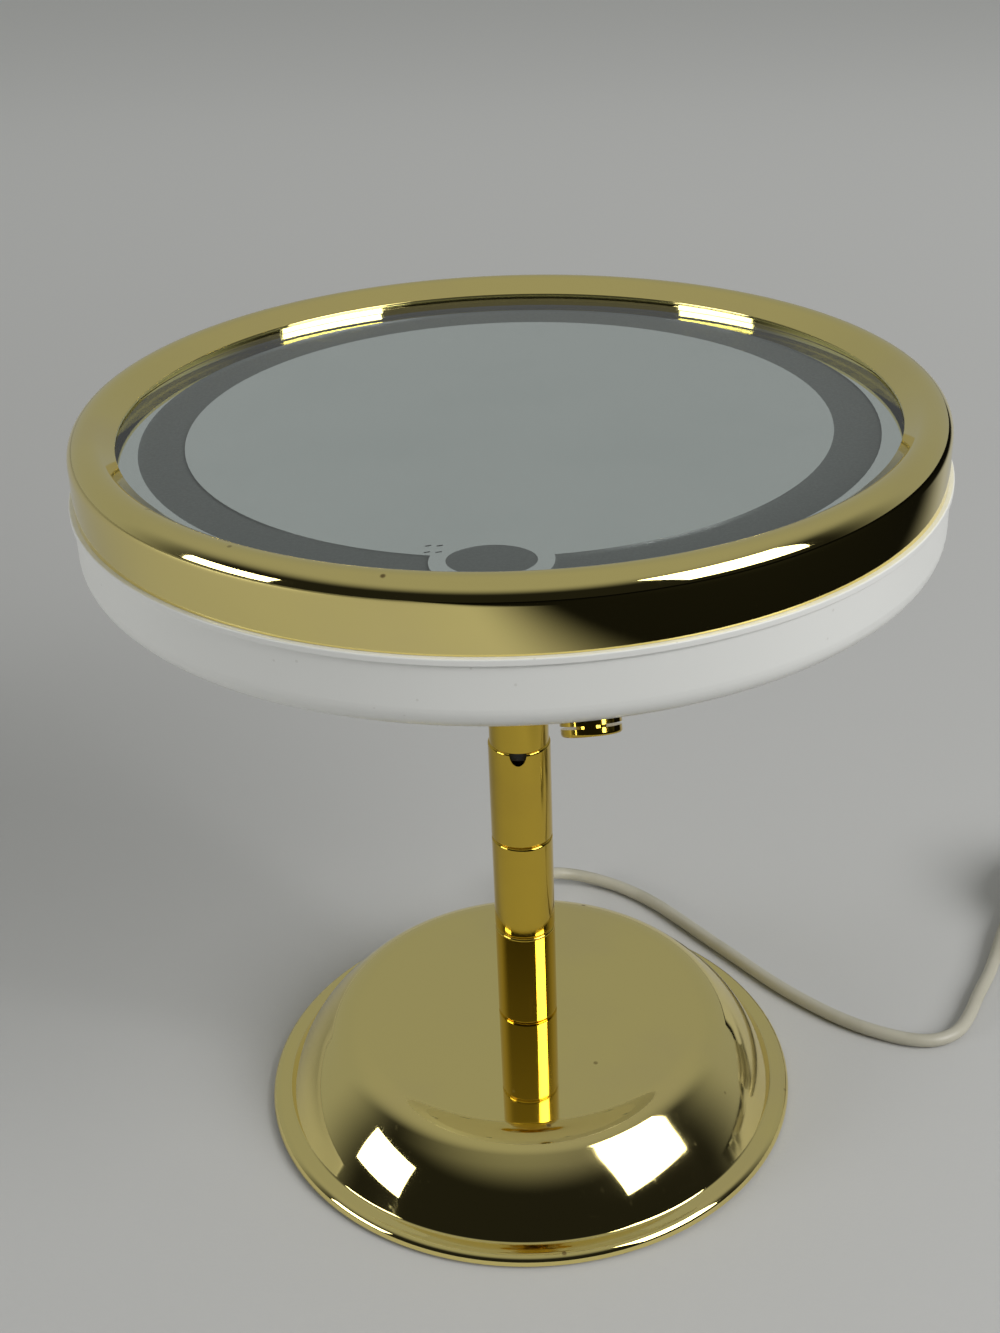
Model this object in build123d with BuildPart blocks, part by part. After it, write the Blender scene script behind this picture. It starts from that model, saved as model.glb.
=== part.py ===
from build123d import *
import math
import os

# Lighted makeup mirror: a round lit head with a gold bezel, on a gold post and a round gold base.
# Millimetres. The origin is the middle of the base's underside, +Z is up and the front is -Y.
# The head lies face up at rest and tilts forward about a pin along X at the top of the post.

# Clearances and cuts
fit_gap = 0.05
seat_gap = 0.2
cut_over = 1.0

# Base
base_height = 24.2
lip_radius = 72.0
lip_height = 3.6
lip_edge_round = 2.4
lip_blend = 1.0
lip_shelf = 5.0
shoulder_share = 0.5
shoulder_angle = 45.0
shoulder_blend = 12.0
flank_angle = 60.0
flank_blend = 55.0
shell_wall = 1.2
rim_lift = 1.0
plate_thickness = 1.4
pad_inset = 1.0
weight_inset = 20.0
weight_height = 10.5
weight_bore_radius = 15.0
weight_slot_width = 9.0
base_screw_circle = 34.0
base_screw_count = 3
base_screw_diameter = 4.0
base_screw_length = 9.0
base_screw_head_diameter = 7.6

# Post: three tube sections stacked on a threaded pipe
tube_diameter = 16.0
tube_wall = 1.0
section_length = 28.6
section_names = ("tube_lower", "tube_middle", "tube_upper")
rim_round = 0.8
notch_width = 7.0
notch_depth = 2.2
bush_height = 5.0
pipe_diameter = 10.0
pipe_bore = 7.0
pipe_tail = 9.0
pipe_reach = 9.0
washer_diameter = 22.0
washer_thickness = 1.5
nut_width = 15.0
nut_height = 5.0

# Hinge between the post and the head
fork_diameter = 15.2
fork_rise = 31.2
fork_cheek_radius = 7.2
fork_flat_width = 12.6
fork_waist = 12.0
tongue_thickness = 5.0
tongue_radius = 6.6
tongue_width = 9.0
friction_washer_diameter = 12.0
friction_washer_thickness = 0.8
hinge_pin_diameter = 5.0
hinge_head_diameter = 9.0
hinge_head_height = 2.6
hinge_nut_width = 8.0
hinge_nut_height = 3.4
bracket_reach = 17.0
bracket_diameter = 38.0
bracket_thickness = 2.5
bracket_screw_spacing = 20.0
bracket_screw_diameter = 4.0
bracket_screw_head_diameter = 7.0
bracket_screw_head_height = 2.2
backing_thickness = 2.5

# Head: white housing
housing_overhang = 0.4
back_rim_width = 28.4
back_slope = 26.0
side_height = 14.85
housing_wall = 2.0
housing_edge_round = 6.0
housing_bead = 0.7
housing_bead_height = 1.6
cover_thickness = 2.0
cover_ledge = 6.0
ledge_width = 4.0
ledge_thickness = 2.5
cover_screw_count = 6
cover_screw_diameter = 3.0
cover_screw_length = 4.0
cover_screw_head_diameter = 5.6
cover_screw_head_height = 1.7

# Head: gold bezel and the mirror under its lip
bezel_radius = 100.0
bezel_wall = 1.8
bezel_band = 10.7
bezel_lip_edge = 0.7
bezel_slope = 37.0
bezel_round = 4.6
bezel_seat_rise = 4.9
bezel_screw_inset = 4.6
bezel_screw_count = 6
bezel_screw_diameter = 2.6
bezel_screw_head_diameter = 5.0
bezel_screw_head_height = 1.8
bezel_screw_bite = 4.0
film_rise = 8.3
glass_inset = 8.0
glass_thickness = 2.4
film_thickness = 0.4
band_inset = 15.4
band_width = 10.5
touch_inset = 9.2
touch_half_width = 9.0
touch_half_height = 7.0
touch_clear_radius = 12.4
stroke_length = 1.3
stroke_width = 0.45
stroke_slant = 20.0
stroke_left = 11.8
stroke_up = 5.4
stroke_column_step = 2.3
stroke_row_step = 3.0

# Head: light parts and tray behind the mirror
diffuser_margin = 4.1
diffuser_thickness = 2.0
foam_inset = 10.0
foam_thickness = 1.0
tray_wall = 2.0
tray_channel_depth = 6.6
tray_flange_thickness = 1.6
touch_board_radius = 11.6
touch_board_thickness = 1.8
touch_boss_radius = 8.0
led_board_margin = 3.0
led_board_inset = 5.0
led_board_thickness = 1.6
led_count = 44
led_length = 3.5
led_width = 2.8
led_height = 0.8
led_gap_angle = 24.0

# Head: driver board on the back cover
driver_length = 44.0
driver_width = 26.0
driver_thickness = 1.6
driver_setback = 28.0
driver_post_height = 3.0
driver_post_diameter = 5.0
driver_post_inset = 4.0
choke_diameter = 9.0
choke_height = 7.0
capacitor_diameter = 6.0
capacitor_height = 8.0
chip_length = 9.0
chip_width = 6.0
chip_height = 1.6

# Head: push button on the sloped underside, right of the touch mark
button_inset = 9.4
button_angle = 12.0
collar_diameter = 12.2
collar_height = 1.0
sleeve_diameter = 9.0
sleeve_length = 3.0
button_diameter = 12.0
button_height = 1.6
button_edge_round = 0.6
button_gap = 0.6
button_stem_diameter = 6.0
button_stem_length = 6.6
button_clip_diameter = 8.6
button_clip_thickness = 0.8
switch_size = 6.0
switch_height = 3.0
plunger_diameter = 3.4
plunger_height = 0.7
plunger_gap = 0.6
switch_board_length = 24.0
switch_board_width = 10.0
switch_board_thickness = 1.2
switch_post_diameter = 3.6
switch_post_spacing = 19.0

# Supply lead
cord_diameter = 3.8
floor_gap = 0.1
exit_height = 9.0
boot_length = 10.0
boot_root_diameter = 6.4
boot_tip_diameter = 4.6
boot_collar_diameter = 9.0
boot_collar_thickness = 2.0
boot_inner_length = 8.0
lead_bend = 9.0

# The lead's free run from the boot's tip to the coil, lying on the floor after its first bend
cord_route = [
    (0.0, 81.5, 9.0),
    (3.0, 88.0, 7.0),
    (9.5, 91.5, 4.4),
    (18.5, 91.0, 2.6),
    (28.0, 86.5, 2.0),
    (37.5, 78.5, 2.0),
    (46.0, 68.5, 2.0),
    (54.0, 58.8, 2.0),
    (62.2, 49.2, 2.0),
    (71.0, 38.6, 2.0),
    (80.5, 29.0, 2.0),
    (92.0, 19.6, 2.0),
    (104.8, 13.4, 2.0),
    (114.0, 11.8, 2.0),
    (121.6, 15.4, 2.0),
    (126.6, 23.4, 2.0),
    (130.8, 33.2, 2.0),
    (136.8, 44.4, 2.1),
]

# Coil of the length that is put away, its tie, and the plug beside it
coil_centre = (177.8, 73.4)
coil_start_angle = 155.0
coil_outer_radius = 25.6
coil_pitch = 4.3
coil_layer_step = 4.3
coil_layers = 4
coil_turns_per_layer = 2.375
coil_lift = 1.3
coil_approach = 16.0
tie_width = 8.0
tie_thickness = 0.8
tie_gap = 0.3
tie_angle = 65.0
tie_corner = 2.0

# The lead from the coil's end down to the plug: distance along the coil's last direction, sideways, height
tail_lead = 7.0
tail_steps = [(16.0, 0.2, 12.6), (26.0, 0.0, 7.2)]
tail_landing = (34.0, -0.8)
tail_end = 8.0
plug_length = 26.0
plug_width = 14.0
plug_thickness = 7.6
plug_round = 2.4
plug_boot_length = 11.0
plug_boot_root = 6.4
plug_boot_tip = 4.8
plug_grip_depth = 0.5
plug_grip_width = 1.2
plug_grip_count = 4
plug_grip_pitch = 2.6
shell_width = 12.0
shell_height = 4.5
shell_length = 11.8
shell_sheet = 0.4
tongue_plate_thickness = 1.9

# Radii of the head, which all follow the bezel
housing_radius = bezel_radius + housing_overhang
back_radius = housing_radius - back_rim_width
bezel_lip_radius = bezel_radius - bezel_band
bezel_screw_circle = bezel_radius - bezel_screw_inset
glass_radius = bezel_radius - glass_inset
band_outer = bezel_radius - band_inset
band_inner = band_outer - band_width
touch_circle = band_outer - touch_inset
diffuser_inner = band_inner - diffuser_margin
foam_radius = diffuser_inner - foam_inset
led_board_inner = diffuser_inner + led_board_margin
led_board_outer = glass_radius - led_board_inset
driver_offset = back_radius - driver_setback
button_circle = housing_radius - button_inset

# Heights of the stack, from the floor up
plate_top = lip_height - shell_wall
plate_bottom = plate_top - plate_thickness
plate_radius = lip_radius - lip_edge_round - fit_gap
shell_under_top = base_height - shell_wall
post_top = base_height + len(section_names) * section_length
pivot_height = post_top + fork_rise
back_height = pivot_height + bracket_reach
cover_top = back_height + cover_thickness
corner_height = back_height + back_rim_width * math.tan(math.radians(back_slope))
rim_height = corner_height + side_height
bezel_seat = rim_height + bezel_seat_rise
film_front = rim_height + film_rise
film_back = film_front - film_thickness
glass_top = film_front + glass_thickness
diffuser_back = film_back - diffuser_thickness
tray_floor = diffuser_back - tray_channel_depth + tray_wall
tray_bottom = tray_floor - tray_wall
led_board_top = tray_floor + led_board_thickness
touch_board_back = film_back - touch_board_thickness
cord_radius = cord_diameter / 2

os.makedirs("parts", exist_ok=True)


def save(piece, label):
    """Names a finished piece and writes it to its own file."""
    piece.part.label = label
    export_step(piece.part, f"parts/{label}.step")


def disc(low, height, radius, mode=Mode.ADD):
    """A flat cylinder on the post's axis, standing on the height low."""
    with Locations((0, 0, low)):
        Cylinder(radius, height, align=(Align.CENTER, Align.CENTER, Align.MIN), mode=mode)


def spun(points, rounds=()):
    """A turned solid from radius and height points; rounds pairs a point's index with its fillet radius."""
    with BuildSketch(Plane.XZ) as profile:
        with BuildLine():
            Polyline(*points, close=True)
        make_face()
        for index, radius in rounds:
            corner = Vector(*points[index])
            near = profile.vertices().sort_by_distance(corner)[0]
            fillet(near, radius)
    revolve(profile.sketch, axis=Axis.Z)


def hexagon(low, height, width):
    """A hexagonal nut blank on the post's axis, width measured across its flats."""
    with BuildSketch(Plane.XY.offset(low)) as outline:
        RegularPolygon(width / 2, 6, major_radius=False)
    extrude(outline.sketch, amount=height)


# Base
flank_foot = lip_radius - lip_shelf
knee_height = base_height - shoulder_share * (base_height - lip_height)
knee_radius = flank_foot - (knee_height - lip_height) / math.tan(math.radians(flank_angle))
shoulder_radius = knee_radius - (base_height - knee_height) / math.tan(math.radians(shoulder_angle))
exit_wall = flank_foot - (exit_height - lip_height) / math.tan(math.radians(flank_angle))
weight_radius = lip_radius - weight_inset
pipe_hole_radius = pipe_diameter / 2 + seat_gap
boot_hole_radius = boot_root_diameter / 2 + seat_gap
exit_plane = Plane(origin=(0, exit_wall, exit_height), z_dir=(0, 1, 0))

with BuildPart() as base_shell:
    spun(
        [
            (0, base_height),
            (shoulder_radius, base_height),
            (knee_radius, knee_height),
            (flank_foot, lip_height),
            (lip_radius, lip_height),
            (lip_radius, rim_lift),
            (0, rim_lift),
        ],
        [(1, shoulder_blend), (2, flank_blend), (3, lip_blend), (4, lip_edge_round)],
    )
    offset(amount=-shell_wall, openings=base_shell.faces().sort_by(Axis.Z)[0])
    disc(base_height - shell_wall - cut_over, shell_wall + 2 * cut_over, pipe_hole_radius, Mode.SUBTRACT)
    with Locations(exit_plane):
        Cylinder(boot_hole_radius, 2 * boot_inner_length, mode=Mode.SUBTRACT)
save(base_shell, "base_shell")

screw_radius = base_screw_diameter / 2
with BuildPart() as base_plate:
    disc(plate_bottom, plate_thickness, plate_radius)
    with PolarLocations(base_screw_circle, base_screw_count):
        with Locations((0, 0, plate_bottom)):
            Cylinder(screw_radius + seat_gap, 2 * plate_thickness + cut_over, mode=Mode.SUBTRACT)
            Cone(
                base_screw_head_diameter / 2 + seat_gap,
                screw_radius + seat_gap,
                plate_thickness,
                align=(Align.CENTER, Align.CENTER, Align.MIN),
                mode=Mode.SUBTRACT,
            )
save(base_plate, "base_plate")

with BuildPart() as base_pad:
    disc(0, plate_bottom, plate_radius - pad_inset)
save(base_pad, "base_pad")

with BuildPart() as base_weight:
    disc(plate_top, weight_height, weight_radius)
    disc(plate_top - cut_over, weight_height + 2 * cut_over, weight_bore_radius, Mode.SUBTRACT)
    with Locations((0, weight_radius / 2, plate_top)):
        Box(
            weight_slot_width,
            weight_radius + cut_over,
            weight_height + cut_over,
            align=(Align.CENTER, Align.CENTER, Align.MIN),
            mode=Mode.SUBTRACT,
        )
    with PolarLocations(base_screw_circle, base_screw_count):
        with Locations((0, 0, plate_top)):
            Cylinder(screw_radius + fit_gap, 2 * base_screw_length, mode=Mode.SUBTRACT)
save(base_weight, "base_weight")

with BuildPart() as base_screws:
    with PolarLocations(base_screw_circle, base_screw_count):
        with Locations((0, 0, plate_bottom)):
            Cone(
                base_screw_head_diameter / 2,
                screw_radius,
                plate_thickness,
                align=(Align.CENTER, Align.CENTER, Align.MIN),
            )
            Cylinder(screw_radius, base_screw_length, align=(Align.CENTER, Align.CENTER, Align.MIN))
save(base_screws, "base_screws")

with BuildPart() as base_washer:
    disc(shell_under_top - washer_thickness, washer_thickness, washer_diameter / 2)
    disc(shell_under_top - 2 * washer_thickness, 4 * washer_thickness, pipe_hole_radius, Mode.SUBTRACT)
save(base_washer, "base_washer")

nut_low = shell_under_top - washer_thickness - nut_height
with BuildPart() as base_nut:
    hexagon(nut_low, nut_height, nut_width)
    disc(nut_low - cut_over, nut_height + 2 * cut_over, pipe_diameter / 2 + fit_gap, Mode.SUBTRACT)
save(base_nut, "base_nut")

# Post
pipe_low = shell_under_top - pipe_tail
pipe_high = post_top + pipe_reach
with BuildPart() as post_pipe:
    disc(pipe_low, pipe_high - pipe_low, pipe_diameter / 2)
    disc(pipe_low - cut_over, pipe_high - pipe_low + 2 * cut_over, pipe_bore / 2, Mode.SUBTRACT)
save(post_pipe, "post_pipe")

tube_bore_radius = tube_diameter / 2 - tube_wall
for level, section_name in enumerate(section_names):
    section_low = base_height + level * section_length
    with BuildPart() as section:
        spun(
            [
                (tube_bore_radius, section_low),
                (tube_diameter / 2, section_low),
                (tube_diameter / 2, section_low + section_length),
                (tube_bore_radius, section_low + section_length),
            ],
            [(1, rim_round), (2, rim_round)],
        )
        if section_name == section_names[-1]:
            notch_plane = Plane(origin=(0, 0, section_low + section_length), z_dir=(0, -1, 0))
            with BuildSketch(notch_plane) as notch:
                Ellipse(notch_width / 2, notch_depth)
            extrude(notch.sketch, amount=tube_diameter, mode=Mode.SUBTRACT)
    save(section, section_name)

with BuildPart() as post_bushes:
    for level in range(len(section_names) + 1):
        joint_height = base_height + level * section_length
        bush_low = max(joint_height - bush_height / 2, base_height)
        bush_high = min(joint_height + bush_height / 2, post_top)
        disc(bush_low, bush_high - bush_low, tube_bore_radius - fit_gap)
    post_height = post_top - base_height
    disc(base_height - cut_over, post_height + 2 * cut_over, pipe_diameter / 2 + fit_gap, Mode.SUBTRACT)
save(post_bushes, "post_bushes")

# Hinge fork on the post
slot_width = tongue_thickness + 2 * friction_washer_thickness + 2 * fit_gap
slot_floor = pivot_height - tongue_radius - seat_gap
pivot_plane = Plane(origin=(0, 0, pivot_height), x_dir=(0, 1, 0), z_dir=(1, 0, 0))
pin_radius = hinge_pin_diameter / 2
with BuildPart() as hinge_fork:
    disc(post_top, fork_rise + fork_cheek_radius, fork_diameter / 2)
    with BuildSketch(pivot_plane) as outside:
        Rectangle(2 * fork_diameter, 2 * (fork_waist + fork_cheek_radius))
        with Locations((0, -fork_waist)):
            Rectangle(2 * fork_cheek_radius, 2 * fork_waist, mode=Mode.SUBTRACT)
        Circle(fork_cheek_radius, mode=Mode.SUBTRACT)
        with Locations((0, -2 * fork_waist)):
            Rectangle(2 * fork_diameter, 2 * fork_waist, mode=Mode.SUBTRACT)
    extrude(outside.sketch, amount=fork_diameter, both=True, mode=Mode.SUBTRACT)
    with Locations((0, 0, slot_floor)):
        Box(
            slot_width,
            2 * fork_diameter,
            2 * fork_rise,
            align=(Align.CENTER, Align.CENTER, Align.MIN),
            mode=Mode.SUBTRACT,
        )
    with Locations((0, 0, pivot_height - fork_waist)):
        for side in (-1, 1):
            with Locations((side * (fork_flat_width + fork_diameter) / 2, 0, 0)):
                Box(
                    fork_diameter,
                    2 * fork_diameter,
                    2 * fork_rise,
                    align=(Align.CENTER, Align.CENTER, Align.MIN),
                    mode=Mode.SUBTRACT,
                )
    with Locations(pivot_plane):
        Cylinder(pin_radius + fit_gap, 2 * fork_diameter, mode=Mode.SUBTRACT)
    disc(post_top - cut_over, pipe_reach + cut_over + seat_gap, pipe_diameter / 2 + fit_gap, Mode.SUBTRACT)
    disc(post_top, slot_floor - post_top + cut_over, pipe_bore / 2, Mode.SUBTRACT)
save(hinge_fork, "hinge_fork")

washer_middle = tongue_thickness / 2 + fit_gap + friction_washer_thickness / 2
with BuildPart() as friction_washers:
    for side in (-1, 1):
        with Locations(pivot_plane.offset(side * washer_middle)):
            Cylinder(friction_washer_diameter / 2, friction_washer_thickness)
    with Locations(pivot_plane):
        Cylinder(pin_radius + fit_gap, slot_width + 2 * cut_over, mode=Mode.SUBTRACT)
save(friction_washers, "friction_washers")

flat_half = fork_flat_width / 2
with BuildPart() as hinge_pin:
    with Locations(pivot_plane.offset(-flat_half)):
        Cylinder(
            pin_radius,
            fork_flat_width + hinge_nut_height,
            align=(Align.CENTER, Align.CENTER, Align.MIN),
        )
        Cylinder(
            hinge_head_diameter / 2,
            hinge_head_height,
            align=(Align.CENTER, Align.CENTER, Align.MAX),
        )
    head_rim = hinge_pin.edges().filter_by(GeomType.CIRCLE).sort_by(Axis.X)[0]
    fillet(head_rim, hinge_head_height / 2)
save(hinge_pin, "hinge_pin")

with BuildPart() as hinge_nut:
    with BuildSketch(pivot_plane.offset(flat_half)) as nut_outline:
        RegularPolygon(hinge_nut_width / 2, 6, major_radius=False)
        Circle(pin_radius + fit_gap, mode=Mode.SUBTRACT)
    extrude(nut_outline.sketch, amount=hinge_nut_height)
save(hinge_nut, "hinge_nut")

# Hinge bracket on the head
bracket_low = back_height - bracket_thickness
bracket_screw_radius = bracket_screw_diameter / 2
with BuildPart() as hinge_bracket:
    disc(bracket_low, bracket_thickness, bracket_diameter / 2)
    with BuildSketch(pivot_plane) as tongue:
        Circle(tongue_radius)
        with Locations((0, (bracket_low - pivot_height) / 2)):
            Rectangle(tongue_width, bracket_low - pivot_height)
    extrude(tongue.sketch, amount=tongue_thickness / 2, both=True)
    with Locations(pivot_plane):
        Cylinder(pin_radius + fit_gap, 2 * tongue_thickness, mode=Mode.SUBTRACT)
    with Locations((0, 0, bracket_low)):
        with GridLocations(bracket_screw_spacing, bracket_screw_spacing, 2, 2):
            Cylinder(bracket_screw_radius + seat_gap, 2 * bracket_thickness + cut_over, mode=Mode.SUBTRACT)
save(hinge_bracket, "hinge_bracket")

with BuildPart() as bracket_backing:
    disc(cover_top, backing_thickness, bracket_diameter / 2)
    with Locations((0, 0, cover_top)):
        with GridLocations(bracket_screw_spacing, bracket_screw_spacing, 2, 2):
            Cylinder(bracket_screw_radius + fit_gap, 2 * backing_thickness + cut_over, mode=Mode.SUBTRACT)
save(bracket_backing, "bracket_backing")

bracket_screw_length = bracket_thickness + cover_thickness + backing_thickness
with BuildPart() as bracket_screws:
    with Locations((0, 0, bracket_low)):
        with GridLocations(bracket_screw_spacing, bracket_screw_spacing, 2, 2):
            Cylinder(
                bracket_screw_head_diameter / 2,
                bracket_screw_head_height,
                align=(Align.CENTER, Align.CENTER, Align.MAX),
            )
            Cylinder(
                bracket_screw_radius,
                bracket_screw_length,
                align=(Align.CENTER, Align.CENTER, Align.MIN),
            )
    head_rims = bracket_screws.edges().filter_by(GeomType.CIRCLE).group_by(Axis.Z)[0]
    fillet(head_rims, bracket_screw_head_height / 2)
save(bracket_screws, "bracket_screws")

# White housing: side wall, sloped underside and the ledges that carry the cover and the tray
slope_rise = math.tan(math.radians(back_slope))
wall_rise = housing_wall / math.cos(math.radians(back_slope))
inner_side = housing_radius - housing_wall
cover_ledge_radius = back_radius - cover_ledge
ledge_top = cover_top + housing_wall
inner_corner = corner_height + wall_rise - housing_wall * slope_rise
inner_foot = back_radius + (ledge_top - back_height - wall_rise) / slope_rise
button_turn = math.radians(button_angle - 90)
button_rise = (button_circle - back_radius) * slope_rise
button_origin = (
    button_circle * math.cos(button_turn),
    button_circle * math.sin(button_turn),
    back_height + button_rise,
)
slope_turn = math.radians(back_slope)
button_inward = (
    -math.sin(slope_turn) * math.cos(button_turn),
    -math.sin(slope_turn) * math.sin(button_turn),
    math.cos(slope_turn),
)
button_tangent = (-math.sin(button_turn), math.cos(button_turn), 0)
button_plane = Plane(origin=button_origin, x_dir=button_tangent, z_dir=button_inward)
plunger_top = button_stem_length - button_gap - collar_height + plunger_gap
switch_board_low = plunger_top + plunger_height + switch_height

with BuildPart() as housing:
    spun(
        [
            (housing_radius, rim_height),
            (housing_radius, corner_height),
            (back_radius, back_height),
            (back_radius, cover_top),
            (cover_ledge_radius, cover_top),
            (cover_ledge_radius, ledge_top),
            (inner_foot, ledge_top),
            (inner_side, inner_corner),
            (inner_side, tray_bottom - ledge_thickness),
            (inner_side - ledge_width, tray_bottom - ledge_thickness),
            (inner_side - ledge_width, tray_bottom),
            (inner_side, tray_bottom),
            (inner_side, rim_height),
        ],
        [(1, housing_edge_round), (7, housing_edge_round - housing_wall)],
    )
    spun(
        [
            (housing_radius - housing_bead, rim_height),
            (housing_radius + housing_bead, rim_height),
            (housing_radius + housing_bead, rim_height - housing_bead_height),
            (housing_radius - housing_bead, rim_height - housing_bead_height),
        ],
        [(1, housing_bead / 2), (2, housing_bead / 2)],
    )
    with Locations(button_plane):
        with GridLocations(switch_post_spacing, 0, 2, 1):
            with Locations((0, 0, housing_wall / 2)):
                Cylinder(
                    switch_post_diameter / 2,
                    switch_board_low - housing_wall / 2,
                    align=(Align.CENTER, Align.CENTER, Align.MIN),
                )
        Cylinder(sleeve_diameter / 2 + seat_gap, 4 * housing_wall, mode=Mode.SUBTRACT)
    with PolarLocations(back_radius - cover_ledge / 2, cover_screw_count):
        with Locations((0, 0, cover_top)):
            Cylinder(cover_screw_diameter / 2 + fit_gap, 4 * housing_wall, mode=Mode.SUBTRACT)
    with PolarLocations(bezel_screw_circle, bezel_screw_count):
        with Locations((0, 0, tray_bottom)):
            Cylinder(bezel_screw_diameter / 2 + seat_gap, 4 * ledge_thickness, mode=Mode.SUBTRACT)
save(housing, "housing")

with BuildPart() as back_cover:
    disc(back_height, cover_thickness, back_radius - seat_gap)
    with Locations((0, 0, back_height)):
        with GridLocations(bracket_screw_spacing, bracket_screw_spacing, 2, 2):
            Cylinder(bracket_screw_radius + seat_gap, 2 * cover_thickness + cut_over, mode=Mode.SUBTRACT)
    with PolarLocations(back_radius - cover_ledge / 2, cover_screw_count):
        with Locations((0, 0, back_height)):
            cover_bore = cover_screw_diameter / 2 + seat_gap
            Cylinder(cover_bore, 2 * cover_thickness + cut_over, mode=Mode.SUBTRACT)
    with Locations((0, driver_offset, cover_top)):
        with GridLocations(
            driver_length - 2 * driver_post_inset, driver_width - 2 * driver_post_inset, 2, 2
        ):
            Cylinder(
                driver_post_diameter / 2,
                driver_post_height,
                align=(Align.CENTER, Align.CENTER, Align.MIN),
            )
save(back_cover, "back_cover")

with BuildPart() as cover_screws:
    with PolarLocations(back_radius - cover_ledge / 2, cover_screw_count):
        with Locations((0, 0, back_height)):
            Cylinder(
                cover_screw_head_diameter / 2,
                cover_screw_head_height,
                align=(Align.CENTER, Align.CENTER, Align.MAX),
            )
            Cylinder(
                cover_screw_diameter / 2,
                cover_screw_length,
                align=(Align.CENTER, Align.CENTER, Align.MIN),
            )
    cover_rims = cover_screws.edges().filter_by(GeomType.CIRCLE).group_by(Axis.Z)[0]
    fillet(cover_rims, cover_screw_head_height / 2)
save(cover_screws, "cover_screws")

# Driver board on the cover's posts
board_low = cover_top + driver_post_height
board_top = board_low + driver_thickness
with BuildPart() as driver_board:
    with Locations((0, driver_offset, board_low)):
        Box(
            driver_length,
            driver_width,
            driver_thickness,
            align=(Align.CENTER, Align.CENTER, Align.MIN),
        )
save(driver_board, "driver_board")

with BuildPart() as driver_parts:
    with Locations((-driver_length / 4, driver_offset, board_top)):
        Cylinder(choke_diameter / 2, choke_height, align=(Align.CENTER, Align.CENTER, Align.MIN))
    with Locations((driver_length / 4, driver_offset, board_top)):
        Cylinder(capacitor_diameter / 2, capacitor_height, align=(Align.CENTER, Align.CENTER, Align.MIN))
    with Locations((0, driver_offset, board_top)):
        Box(chip_length, chip_width, chip_height, align=(Align.CENTER, Align.CENTER, Align.MIN))
save(driver_parts, "driver_parts")

# Gold bezel ring
pocket_radius = glass_radius + seat_gap
lip_top = glass_top + bezel_lip_edge
bezel_corner = lip_top + bezel_band * math.tan(math.radians(bezel_slope))
with BuildPart() as bezel_ring:
    spun(
        [
            (bezel_lip_radius, glass_top),
            (bezel_lip_radius, lip_top),
            (bezel_radius, bezel_corner),
            (bezel_radius, rim_height),
            (bezel_radius - bezel_wall, rim_height),
            (bezel_radius - bezel_wall, bezel_seat),
            (pocket_radius, bezel_seat),
            (pocket_radius, glass_top),
        ],
        [(2, bezel_round)],
    )
    with PolarLocations(bezel_screw_circle, bezel_screw_count):
        with Locations((0, 0, bezel_seat)):
            thread_depth = bezel_screw_bite + seat_gap
            Cylinder(bezel_screw_diameter / 2 + fit_gap, 2 * thread_depth, mode=Mode.SUBTRACT)
save(bezel_ring, "bezel_ring")

# Mirror: clear glass, and the silvering behind it with its etched windows
touch_place = (0, -touch_circle)
with BuildPart() as mirror_glass:
    disc(film_front, glass_thickness, glass_radius)
save(mirror_glass, "mirror_glass")

with BuildPart() as mirror_silvering:
    with BuildSketch(Plane.XY.offset(film_back)) as band:
        Circle(band_outer)
        Circle(band_inner, mode=Mode.SUBTRACT)
        with Locations(touch_place):
            Circle(touch_clear_radius, mode=Mode.SUBTRACT)
            Ellipse(touch_half_width, touch_half_height)
        with Locations((-stroke_left, -touch_circle + stroke_up)):
            with GridLocations(stroke_column_step, stroke_row_step, 2, 2):
                Rectangle(stroke_length, stroke_width, rotation=stroke_slant)
    disc(film_back, film_thickness, glass_radius)
    extrude(band.sketch, amount=film_thickness, mode=Mode.SUBTRACT)
save(mirror_silvering, "mirror_silvering")

with BuildPart() as diffuser_ring:
    disc(diffuser_back, diffuser_thickness, glass_radius)
    disc(diffuser_back - cut_over, diffuser_thickness + 2 * cut_over, diffuser_inner, Mode.SUBTRACT)
    with Locations((0, -touch_circle, diffuser_back)):
        Cylinder(touch_board_radius + seat_gap, 2 * diffuser_thickness + cut_over, mode=Mode.SUBTRACT)
save(diffuser_ring, "diffuser_ring")

with BuildPart() as mirror_foam:
    disc(film_back - foam_thickness, foam_thickness, foam_radius)
save(mirror_foam, "mirror_foam")

# Tray that carries the mirror and the light ring
plateau_top = film_back - foam_thickness
channel_inner = diffuser_inner + tray_wall
with BuildPart() as mirror_tray:
    spun(
        [
            (0, plateau_top),
            (diffuser_inner - seat_gap, plateau_top),
            (diffuser_inner - seat_gap, diffuser_back),
            (channel_inner, diffuser_back),
            (channel_inner, tray_floor),
            (glass_radius - tray_wall, tray_floor),
            (glass_radius - tray_wall, diffuser_back),
            (glass_radius, diffuser_back),
            (glass_radius, tray_bottom + tray_flange_thickness),
            (inner_side - seat_gap, tray_bottom + tray_flange_thickness),
            (inner_side - seat_gap, tray_bottom),
            (diffuser_inner - tray_wall, tray_bottom),
            (diffuser_inner - tray_wall, plateau_top - tray_wall),
            (0, plateau_top - tray_wall),
        ]
    )
    with Locations((0, -touch_circle, tray_floor)):
        Cylinder(
            touch_boss_radius,
            touch_board_back - tray_floor,
            align=(Align.CENTER, Align.CENTER, Align.MIN),
        )
    with PolarLocations(bezel_screw_circle, bezel_screw_count):
        with Locations((0, 0, tray_bottom)):
            Cylinder(bezel_screw_diameter / 2 + seat_gap, 4 * tray_flange_thickness, mode=Mode.SUBTRACT)
save(mirror_tray, "mirror_tray")

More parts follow.
